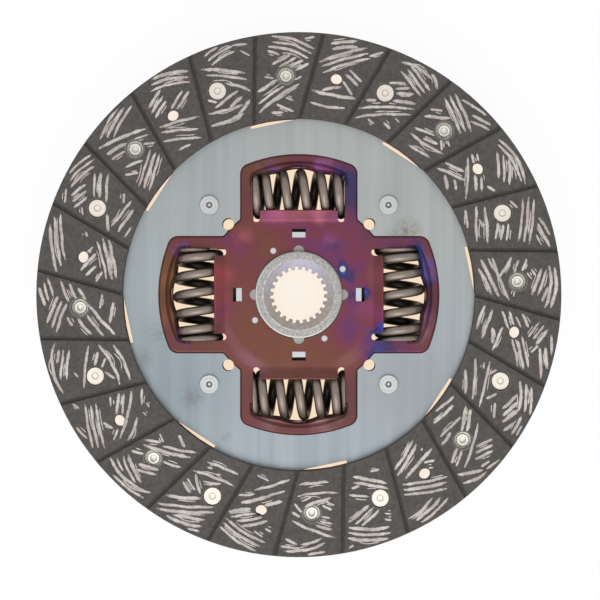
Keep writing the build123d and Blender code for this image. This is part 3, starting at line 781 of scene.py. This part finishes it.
# --- Yarn on the facings --------------------------------------------------------------------
# Yarn of each facing pad, from the pad at pad_turn onwards. Each row is a group of parallel
# strands: how far along the pad and at what radius its middle lies (mm), its lean from the
# tangent (degrees), its length (mm), its strands, how far their middles bulge outwards and
# how far each strand slides along past the one inside it (mm).
YARN = [
    [(-4.3, 108.4, 8, 16, 2, 1.2), (-7.1, 105.3, 22, 6.5), (-2.0, 103.3, 24, 11.5, 2),
     (1.2, 100.2, -33, 3.6, 2), (5.3, 97.4, 25, 5.8), (5.7, 94.2, 24, 6.2), (5.5, 89.5, 38, 10.5),
     (-6.2, 92.3, 15, 4.2), (0.5, 86.8, -17, 21, 1, -1.0), (1.5, 82.4, -18, 20, 1, -0.5),
     (0.2, 80.1, -20, 15.5), (7.6, 83.6, -18, 6.5)],
    [(-8.8, 107.9, -15, 10.6), (-6.1, 109.4, -21, 7.4), (-10.4, 105.5, -20, 5),
     (-2.0, 102.8, 26, 18.5, 3), (5.9, 99.9, -24, 4.4), (-2.6, 91.5, 24, 8.5, 3),
     (2.0, 85.9, 13, 17.3), (3.9, 82.0, 18, 18, 1, -0.6), (8.6, 78.9, 15, 9.5),
     (3.2, 83.9, -8, 4.4)],
    [(-3.9, 109.0, 3, 19.5, 1, 2.2), (-3.4, 107.4, 1, 16, 1, 1.1),
     (-4.0, 103.4, 31, 11, 3, 0, -1.3), (0.2, 92.7, 27, 16.8, 2), (0.8, 88.0, 36, 19.5),
     (-8.7, 94.1, -28, 3.9), (6.8, 83.4, -24, 14.4), (8.4, 86.2, -23, 10.2), (1.9, 82.1, 20, 5.6),
     (4.9, 79.3, 24, 7.5)],
    [(-9.6, 107.3, -23, 8.4, 2), (-3.5, 109.9, -11, 11.2, 1, 0.5), (-1.0, 103.4, 27, 16.5, 3),
     (5.0, 96.2, -34, 10.7), (6.6, 98.8, -28, 5), (-6.4, 91.3, 29, 4), (-4.2, 88.9, 41, 5.4),
     (5.7, 88.2, -15, 9.7), (0.4, 86.6, -19, 7.3), (1.4, 84.7, -6, 19.3, 1, -1.2),
     (1.2, 80.3, -9, 12.8)],
    [(-11.1, 108.4, 38, 6.4, 1, 0.5), (-3.0, 109.2, 4, 13.2, 1, 1.2), (-4.8, 104.5, 27, 12.5, 3),
     (-0.6, 98.5, -28, 8.8, 3, 0, 1.6), (0.8, 92.0, -22, 23), (1.7, 88.6, -23, 24.4),
     (1.5, 85.2, -24, 25), (-5.7, 85.8, 18, 3), (-2.8, 81.6, 18, 4.9), (5.3, 80.5, 13, 4.2)],
    [(0.3, 109.0, -18, 10.5, 2), (-0.2, 102.8, -29, 21, 3), (-11.8, 108.3, -33, 6.3),
     (-5.4, 95.9, 29, 7.7, 2), (-4.0, 91.0, 42, 8.9), (2.8, 89.6, -18, 9.5),
     (1.9, 87.2, 1, 21.6, 1, -1.0), (4.1, 82.0, 0, 17.2, 1, -1.1)],
    [(-11.0, 110.2, -15, 4), (-4.2, 106.6, 21, 16.5, 3, 1.0), (3.0, 104.2, 27, 5.3),
     (-3.9, 99.3, -28, 8.4, 4, 0, 1.7), (2.1, 88.6, -26, 22.7), (3.3, 85.0, -28, 24.5),
     (6.9, 90.5, -22, 10.1), (6.2, 93.9, 15, 4.2), (-2.3, 84.0, 17, 4.2), (0.0, 80.2, 23, 9.5),
     (4.4, 78.6, 6, 6.3)],
    [(-10.0, 110.0, 10, 6), (-10.8, 106.1, 41, 5), (-1.9, 109.0, -14, 11, 3, 0.5),
     (-1.4, 101.2, 26, 18.7), (-1.2, 98.6, 24, 17.3), (-1.7, 94.6, 29, 17.9, 1, 0.8),
     (2.0, 89.3, -18, 13.8), (-2.2, 87.0, -24, 8.6), (-4.9, 83.6, -33, 8.9),
     (3.9, 85.4, 6, 18.2, 1, -0.8), (4.3, 80.8, 0, 18, 1, -1.0), (8.1, 90.8, 39, 4.4)],
    [(-5.4, 107.4, 21, 15.5, 3, 0.7), (-4.2, 97.6, -26, 10.4, 2, 0, 1.5),
     (4.0, 101.6, -22, 8.5, 3, 0, -1.0), (0.7, 90.3, 17, 18.6), (2.6, 87.0, 28, 17.7),
     (4.1, 83.4, 29, 19), (5.7, 79.9, 9, 7)],
    [(-3.9, 108.0, -16, 13.5, 3, 0.4, 1.3), (-1.7, 101.3, 28, 20.3), (3.2, 100.0, 24, 9.9),
     (4.7, 97.6, 17, 7), (-6.7, 95.7, 30, 6.2), (-7.0, 91.5, 35, 5.7), (3.7, 90.2, 28, 8.9),
     (8.0, 88.3, 42, 6.3), (1.8, 83.4, -21, 19, 3, -0.4)],
    [(-7.0, 107.4, 22, 12.5, 3, 0.7, -1.4), (4.3, 108.7, -19, 5.6),
     (2.4, 102.9, 30, 7.3, 3, 0, -1.0), (7.9, 99.2, -33, 3.7), (-3.9, 98.1, -27, 11, 2),
     (0.8, 91.2, -25, 27), (-4.9, 85.6, -22, 4.7), (2.0, 83.7, 11, 15.9, 1, -0.4),
     (4.5, 80.8, 11, 14.6), (9.5, 78.0, 8, 7)],
    [(-2.1, 106.0, -22, 19.3, 3, 0, 1.6), (-8.2, 94.6, -40, 2.5), (-2.3, 91.6, 34, 4.5),
     (3.2, 91.3, 33, 10), (6.6, 89.4, 38, 6.3), (0.6, 83.6, -21, 19.5, 3, -0.8),
     (9.3, 85.9, 25, 6.2)],
    [(-8.2, 108.3, -20, 7.6, 3, 0, 1.1), (0.5, 104.1, 27, 12, 3, 0, -0.8), (4.1, 98.7, -25, 4.8),
     (-7.8, 100.2, -23, 9.5), (-8.4, 96.9, -28, 7.1), (1.5, 87.6, -32, 28.4),
     (6.9, 93.0, -30, 9.4), (7.1, 88.4, -30, 13.7), (-3.5, 84.8, 10, 6.7), (1.8, 80.5, 13, 10.6)],
    [(-3.9, 109.0, 8, 19.6, 1, 2.2), (-8.2, 106.4, 23, 5.8), (-4.4, 104.7, 23, 12, 2),
     (0.8, 101.6, -26, 2.6), (-1.4, 96.3, 25, 17.9), (-2.8, 91.0, 30, 7.6), (0.3, 88.7, 37, 6.7),
     (6.4, 88.0, -29, 5.7), (1.5, 86.2, -8, 21.2, 1, -1.8), (3.2, 81.0, -4, 20.2, 1, -1.6)],
    [(-2.8, 110.3, -11, 6), (-12.2, 106.5, -31, 3.3), (-2.7, 104.3, 25, 17.7, 3),
     (0.7, 98.9, -25, 4.5), (5.1, 98.5, 61, 5.4), (-7.3, 92.9, 27, 4.2), (-4.6, 89.6, 36, 9.5, 2),
     (0.8, 90.0, 46, 21.5, 1, -1.5), (-1.7, 80.4, 33, 7.5), (7.8, 91.3, 60, 10.8, 1, -0.8),
     (5.6, 83.4, -2, 2.4), (3.3, 80.2, 0, 3.1)],
    [(-1.7, 110.4, -5, 13.5, 1, 0.3), (-3.2, 107.4, -3, 20.4, 1, 1.9), (-9.6, 105.6, 22, 6.1),
     (-5.0, 103.6, 23, 12.3, 2, 0.5), (0.1, 99.0, -27, 9.3, 2), (-7.9, 96.6, -28, 5.3),
     (6.5, 91.0, -20, 10), (1.7, 88.0, -23, 21.5), (-6.3, 88.3, -34, 8), (5.7, 83.8, -23, 15.7),
     (-4.8, 85.0, 22, 4.4), (3.2, 80.2, 22, 6.7)],
    [(-1.6, 109.2, -12, 15, 1, 0.8), (2.8, 110.4, -14, 4.5), (-1.1, 106.6, -19, 12.3),
     (-3.0, 103.8, -25, 24, 2), (-6.1, 99.9, -26, 16), (-6.6, 94.5, 25, 6.6, 2),
     (-3.8, 92.0, 48, 8.8), (1.8, 88.8, -18, 8.2), (1.1, 86.7, -4, 20, 1, -1.0),
     (3.3, 81.2, -2, 17, 1, -0.6), (-2.1, 83.4, -12, 2.8), (2.7, 84.4, -14, 3)],
    [(-4.3, 106.3, 22, 17.7, 3, 0.6), (1.8, 103.9, 23, 4.8), (5.2, 101.6, 20, 2.8),
     (-3.8, 97.9, -23, 11, 4, 0, 1.6), (5.7, 90.3, -20, 10), (-1.8, 89.8, -24, 14),
     (-6.4, 88.6, -18, 7.3), (4.6, 82.6, -23, 18.3), (7.4, 85.6, -17, 8.5),
     (-0.1, 80.1, 16, 6.5)],
    [(-9.9, 108.4, 6, 7.5), (-4.3, 108.8, -12, 16, 1, 1.0), (-0.3, 111.0, -8, 6.3),
     (-2.0, 106.1, -16, 8.8, 1, 0.4), (-10.1, 105.7, 28, 5.3), (-1.7, 100.9, 26, 18.4),
     (3.4, 99.2, 23, 7, 2), (4.2, 96.0, 19, 4.3), (-7.8, 94.3, 32, 4.4), (-7.3, 91.3, 47, 5.1),
     (6.4, 91.2, 34, 4.5, 2), (1.6, 89.3, -12, 12.2, 1, -0.4), (-2.9, 87.4, -22, 5),
     (1.9, 85.9, 1, 20, 1, -1.1), (0.9, 81.1, -2, 14.5, 1, -0.4)],
    [(-12.0, 110.0, -25, 2.4), (-4.6, 106.9, 18, 16, 3, 0.5), (4.3, 102.4, 29, 3, 2),
     (-3.7, 98.6, -26, 11.8, 3, 0, 1.6), (-3.6, 90.2, 23, 10.2), (2.4, 86.2, 29, 16.5, 2, -0.6),
     (6.7, 82.0, 12, 4.5), (-4.6, 86.0, 2, 4)],
    [(-5.1, 107.6, -13, 13.5, 3, 0.5, 1.5), (-1.5, 98.6, 26, 18.3, 3), (5.9, 90.6, 25, 5.2),
     (4.7, 92.9, 30, 3), (2.2, 88.8, -14, 17.7, 1, -0.5), (-1.4, 83.6, -23, 17, 2),
     (7.3, 84.6, -35, 1.6)],
    [(-8.7, 109.2, 19, 10, 1, 0.5), (-9.0, 105.6, 38, 10.4), (-0.9, 110.4, 12, 6.4),
     (-2.0, 108.0, 15, 4.2), (1.9, 103.4, 28, 8, 3, 0, -1.0), (-0.3, 98.6, -24, 18.5),
     (-7.9, 96.9, -26, 7.3, 2), (6.6, 89.6, -27, 11.3, 2), (-5.6, 88.3, -5, 7.7),
     (-0.3, 86.3, 5, 14.4, 1, -0.4), (2.0, 80.6, 7, 14), (6.5, 78.2, 10, 13)],
    [(-9.3, 110.9, -2, 4.4), (-8.6, 108.9, -3, 8.1), (-10.8, 106.1, 27, 6.3),
     (1.9, 106.9, -23, 11.3, 3, 0.4, -1.1), (-4.4, 102.9, 22, 8, 3, 0, -1.6),
     (-8.0, 97.5, -30, 6.5), (-3.2, 93.2, 35, 5.7), (0.6, 88.6, -13, 22.2, 1, -0.5),
     (0.5, 83.6, -18, 20.2), (-2.8, 80.6, -25, 12.6), (6.8, 89.6, 32, 4.8),
     (7.9, 84.8, -20, 3.3)],
    [(-8.1, 107.6, -21, 12.4), (-5.4, 109.2, -23, 8.5), (-0.9, 110.4, -14, 8.1, 1, 0.3),
     (-3.6, 103.6, 32, 4.4), (2.8, 103.8, 32, 7.7, 3), (-6.2, 99.2, -29, 14.2, 2),
     (-0.8, 92.9, -28, 25), (7.6, 91.6, -26, 6.3), (6.8, 97.9, -35, 6.1), (6.1, 94.8, -33, 5.1),
     (-2.5, 87.3, 9, 11.7), (-1.5, 84.8, -12, 8), (3.5, 81.8, 12, 16.3, 1, -0.4),
     (6.3, 78.5, 12, 13.1, 1, -0.3)],
]
# What a row that is written shorter leaves out: its strands, their bulge and their slide.
YARN_DEFAULTS = (1, 0.0, 0.0)

# Outline of a strand across its run: places across as a share of half its width, and heights
# as a share of its full height. Its lowest point lies under the facing's face.
STRAND_SECTION = ((-1.0, 0.0), (-0.55, 0.8), (0.0, 1.0), (0.55, 0.8), (1.0, 0.0), (0.0, -1.0))


def pad_holes():
    """Centre and radius in mm of each pocket and hole on the rivet circle of the front."""
    kinds = (
        (-rivet_half_angle, pocket_r_mm),
        (rivet_half_angle, tail_hole_r_mm),
        (0.0, vent_hole_r_mm),
    )
    holes = []
    for i in range(paddle_count):
        middle = paddle_turn + paddle_pitch * i
        for turn, radius in kinds:
            a = math.radians(middle + turn)
            holes.append((rivet_circle_mm * math.cos(a), rivet_circle_mm * math.sin(a), radius))
    return holes


def near_groove(x, y):
    """Whether a point of the front, in mm, lies within the margin of a groove."""
    for i in range(pad_count):
        a = math.radians(groove_turn + pad_pitch * i)
        ahead = x * math.cos(a) + y * math.sin(a)
        off = y * math.cos(a) - x * math.sin(a) - groove_offset_mm
        if ahead > 0 and abs(off) < groove_margin_mm:
            return True
    return False


def bare(x, y, holes):
    """Whether the front has no yarn at a point in mm: at its edges, grooves and holes."""
    reach = math.hypot(x, y)
    if not facing_inner_r_mm + edge_margin_mm < reach < facing_outer_r_mm - edge_margin_mm:
        return True
    if any(math.hypot(x - hx, y - hy) < radius + strand_margin_mm for hx, hy, radius in holes):
        return True
    return near_groove(x, y)


def strand_line(pad_angle, along, radius, lean, length, bow, draw):
    """Points in mm along one strand on the pad at an angle, bulging outwards in its middle."""
    steps = max(strand_least_steps, round(length / strand_step_mm))
    lean_angle = math.radians(lean)
    wave = draw.uniform(*strand_wave_mm_range)
    wave_turn = draw.uniform(0, 2 * math.pi)
    line = []
    for i in range(steps + 1):
        t = 2 * i / steps - 1
        side = bow * (1 - t * t) - bow / 2 + wave * math.sin(wave_turn + length * t / 3)
        u = along + t * length / 2 * math.cos(lean_angle) - side * math.sin(lean_angle)
        r = radius + t * length / 2 * math.sin(lean_angle) + side * math.cos(lean_angle)
        a = math.radians(pad_angle) + u / rivet_circle_mm
        line.append((r * math.cos(a), r * math.sin(a)))
    return line


def cut_at_bare(line, holes):
    """The stretches of a line where yarn may lie, without the ones of too few points."""
    stretches, current = [], []
    for x, y in line:
        if bare(x, y, holes):
            stretches.append(current)
            current = []
        else:
            current.append((x, y))
    stretches.append(current)
    return [stretch for stretch in stretches if len(stretch) >= strand_least_points]


def add_strand(line, width, draw, points, faces):
    """Thin closed lens along a line of the front face, in mm, tapered to its ends."""
    top = front_face_z / MM
    sides = len(STRAND_SECTION)
    base = len(points)
    last = len(line) - 1
    for i, (x, y) in enumerate(line):
        before, after = line[max(i - 1, 0)], line[min(i + 1, last)]
        dx, dy = after[0] - before[0], after[1] - before[1]
        size = math.hypot(dx, dy)
        nx, ny = -dy / size, dx / size
        end = min(i, last - i) / (strand_taper_run * last)
        taper = strand_tip + (1 - strand_tip) * math.sin(math.pi / 2 * min(1.0, end))
        half = width / 2 * taper * draw.uniform(*strand_edge_range)
        for across, up in STRAND_SECTION:
            height = top + strand_height_mm * up * taper
            points.append((x + nx * half * across, y + ny * half * across, height))
    for i in range(last):
        for s in range(sides):
            a, b = base + i * sides + s, base + i * sides + (s + 1) % sides
            faces.append((a, a + sides, b + sides, b))
    faces.append(tuple(range(base, base + sides)))
    faces.append(tuple(reversed(range(len(points) - sides, len(points)))))


def yarn_mesh(name, pad_shift, seed):
    """Mesh of all strands on the front face, with the pads' rows shifted round."""
    draw = random.Random(seed)
    holes = pad_holes()
    points, faces = [], []
    for pad in range(pad_count):
        pad_angle = pad_turn + pad_pitch * pad
        for group in YARN[(pad + pad_shift) % pad_count]:
            left_out = YARN_DEFAULTS[len(group) - 4:]
            along, radius, lean, length, count, bow, slide = (*group, *left_out)
            lean_angle = math.radians(lean)
            for i in range(count):
                row = i - (count - 1) / 2
                out = row * strand_gap_mm
                shift = row * slide + draw.uniform(*strand_shift_mm_range)
                u = along - out * math.sin(lean_angle) + shift * math.cos(lean_angle)
                r = radius + out * math.cos(lean_angle) + shift * math.sin(lean_angle)
                long = length * draw.uniform(*strand_length_range)
                width = strand_width_mm * draw.uniform(*strand_width_range)
                way = lean + draw.uniform(*strand_lean_range)
                line = strand_line(pad_angle, u, r, way, long, bow, draw)
                for stretch in cut_at_bare(line, holes):
                    part = len(stretch) * strand_step_mm / strand_full_mm
                    slim = min(1.0, strand_slimmest + part)
                    add_strand(stretch, width * slim, draw, points, faces)
                if draw.random() > fibre_chance:
                    continue
                side = draw.choice((-1, 1)) * fibre_gap_mm * draw.uniform(*fibre_gap_range)
                drift = draw.uniform(*fibre_drift_range) * long
                u += drift * math.cos(lean_angle) - side * math.sin(lean_angle)
                r += drift * math.sin(lean_angle) + side * math.cos(lean_angle)
                line = strand_line(pad_angle, u, r, way, fibre_share * long, bow, draw)
                for stretch in cut_at_bare(line, holes):
                    add_strand(stretch, fibre_width_mm, draw, points, faces)
    mesh = bpy.data.meshes.new(name)
    mesh.from_pydata([Vector(p) * MM for p in points], [], faces)
    for face in mesh.polygons:
        face.use_smooth = True
    return mesh


def add_yarn(name, pad_shift, seed, material, turned_over):
    """The yarn of one facing, as a piece that rides with the disc."""
    mesh = yarn_mesh(name, pad_shift, seed)
    if turned_over:
        axis = Vector((math.cos(math.radians(flip_angle)), math.sin(math.radians(flip_angle)), 0))
        mesh.transform(Matrix.Rotation(math.pi, 4, axis))
    mesh.materials.append(material)
    piece = add_object(name, mesh)
    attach(piece, "disc")


# --- Materials on the frame -----------------------------------------------------------------
def dress(material, *nodes):
    """These CAD nodes wear this material and no other."""
    for name in nodes:
        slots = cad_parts[name].data.materials
        slots.clear()
        slots.append(material)


spring_wire = spring_material()
numbers = range(1, len(spring_angles) + 1)
dress(rivet_material(), "front_facing_rivets", "rear_facing_rivets")
dress(facing_material(), "front_facing", "rear_facing")
dress(disc_steel_material(), "disc_plate")
dress(tinted_steel_material(), "front_retaining_plate", "rear_retaining_plate")
dress(hub_material(), "hub")
dress(resin_material(), "hub_bush")
dress(washer_material(), "front_lug_washer", "rear_lug_washer")
dress(friction_resin_material(), "front_friction_washer", "rear_friction_washer")
dress(pin_material(), *(f"stop_pin_{number}" for number in numbers))
dress(spring_wire, "cone_spring", *(f"damper_spring_{number}" for number in numbers))

for number, angle, crest_turn in zip(numbers, spring_angles, spring_crest_turns):
    damper_spring(number, angle, crest_turn, spring_wire)
yarn = yarn_material()
add_yarn("front_yarn", 0, front_yarn_seed, yarn, turned_over=False)
add_yarn("rear_yarn", rear_pad_shift, rear_yarn_seed, yarn, turned_over=True)


# --- Floor, lights and camera -----------------------------------------------------------------
# The floor's colour by the distance from its middle, as a share of the disc's radius.
FLOOR_COLOURS = [
    (0.06, srgb(255, 244, 232)),
    (0.30, srgb(254, 228, 198)),
    (0.80, srgb(254, 228, 198)),
    (0.92, srgb(255, 255, 255)),
]


def floor_material():
    """White floor for the camera, cream under the disc, that still takes a faint shadow."""
    g = Graph("floor_paper")
    nodes = g.tree.nodes
    nodes.remove(g.shader)
    reach = g.math("DIVIDE", g.vector("LENGTH", g.place), facing_outer_r_mm)
    glow = nodes.new("ShaderNodeEmission")
    g.feed(glow.inputs["Color"], g.colours(reach, FLOOR_COLOURS))
    glow.inputs["Strength"].default_value = floor_glow
    paper = nodes.new("ShaderNodeBsdfDiffuse")
    paper.inputs["Color"].default_value = floor_paper_colour
    blend = nodes.new("ShaderNodeMixShader")
    g.feed(blend.inputs[0], g.math("MULTIPLY", seen_by_camera(g.tree), floor_glow_share))
    g.feed(blend.inputs[1], paper.outputs[0])
    g.feed(blend.inputs[2], glow.outputs[0])
    g.feed(nodes["Material Output"].inputs["Surface"], blend.outputs[0])
    return g.material


def seen_by_camera(tree):
    """1 on camera rays and on the mirror and glass rays that should see the same white."""
    rays = tree.nodes.new("ShaderNodeLightPath")
    total = rays.outputs["Is Camera Ray"]
    for name in ("Is Glossy Ray", "Is Transmission Ray"):
        either = tree.nodes.new("ShaderNodeMath")
        either.operation = "MAXIMUM"
        tree.links.new(total, either.inputs[0])
        tree.links.new(rays.outputs[name], either.inputs[1])
        total = either.outputs[0]
    return total


def add_floor():
    """Square floor that the hub's rear end stands on."""
    half = floor_half
    corners = [(-half, -half, 0), (half, -half, 0), (half, half, 0), (-half, half, 0)]
    mesh = bpy.data.meshes.new("floor")
    mesh.from_pydata(corners, [], [(0, 1, 2, 3)])
    mesh.materials.append(floor_material())
    floor = add_object("floor", mesh)
    floor.location.z = floor_z


def add_world():
    """Even studio light that the camera sees as white."""
    world = bpy.data.worlds.new("studio")
    bpy.context.scene.world = world
    world.use_nodes = True
    tree = world.node_tree
    light = tree.nodes["Background"]
    light.inputs["Color"].default_value = (1, 1, 1, 1)
    level = tree.nodes.new("ShaderNodeMapRange")
    tree.links.new(seen_by_camera(tree), level.inputs["Value"])
    level.inputs["To Min"].default_value = ambient_light
    level.inputs["To Max"].default_value = 1.0
    tree.links.new(level.outputs[0], light.inputs["Strength"])


def add_lamp():
    """Square softbox that faces the middle of the disc."""
    lamp = bpy.data.lights.new("overhead_lamp", "AREA")
    lamp.shape = "SQUARE"
    lamp.size = lamp_size
    lamp.energy = lamp_power
    box = add_object("overhead_lamp", lamp)
    box.location = lamp_place
    box.rotation_euler = (-Vector(lamp_place)).to_track_quat("-Z", "Y").to_euler()


def add_camera():
    """Camera that looks straight down, as the photo does."""
    data = bpy.data.cameras.new("camera")
    data.sensor_width = camera_sensor_mm
    data.lens = camera_lens_mm
    camera = add_object("camera", data)
    camera.location = (camera_side, camera_back, front_face_z + camera_distance)
    bpy.context.scene.camera = camera


add_floor()
add_world()
add_lamp()
add_camera()
bpy.context.scene.view_settings.view_transform = "Standard"
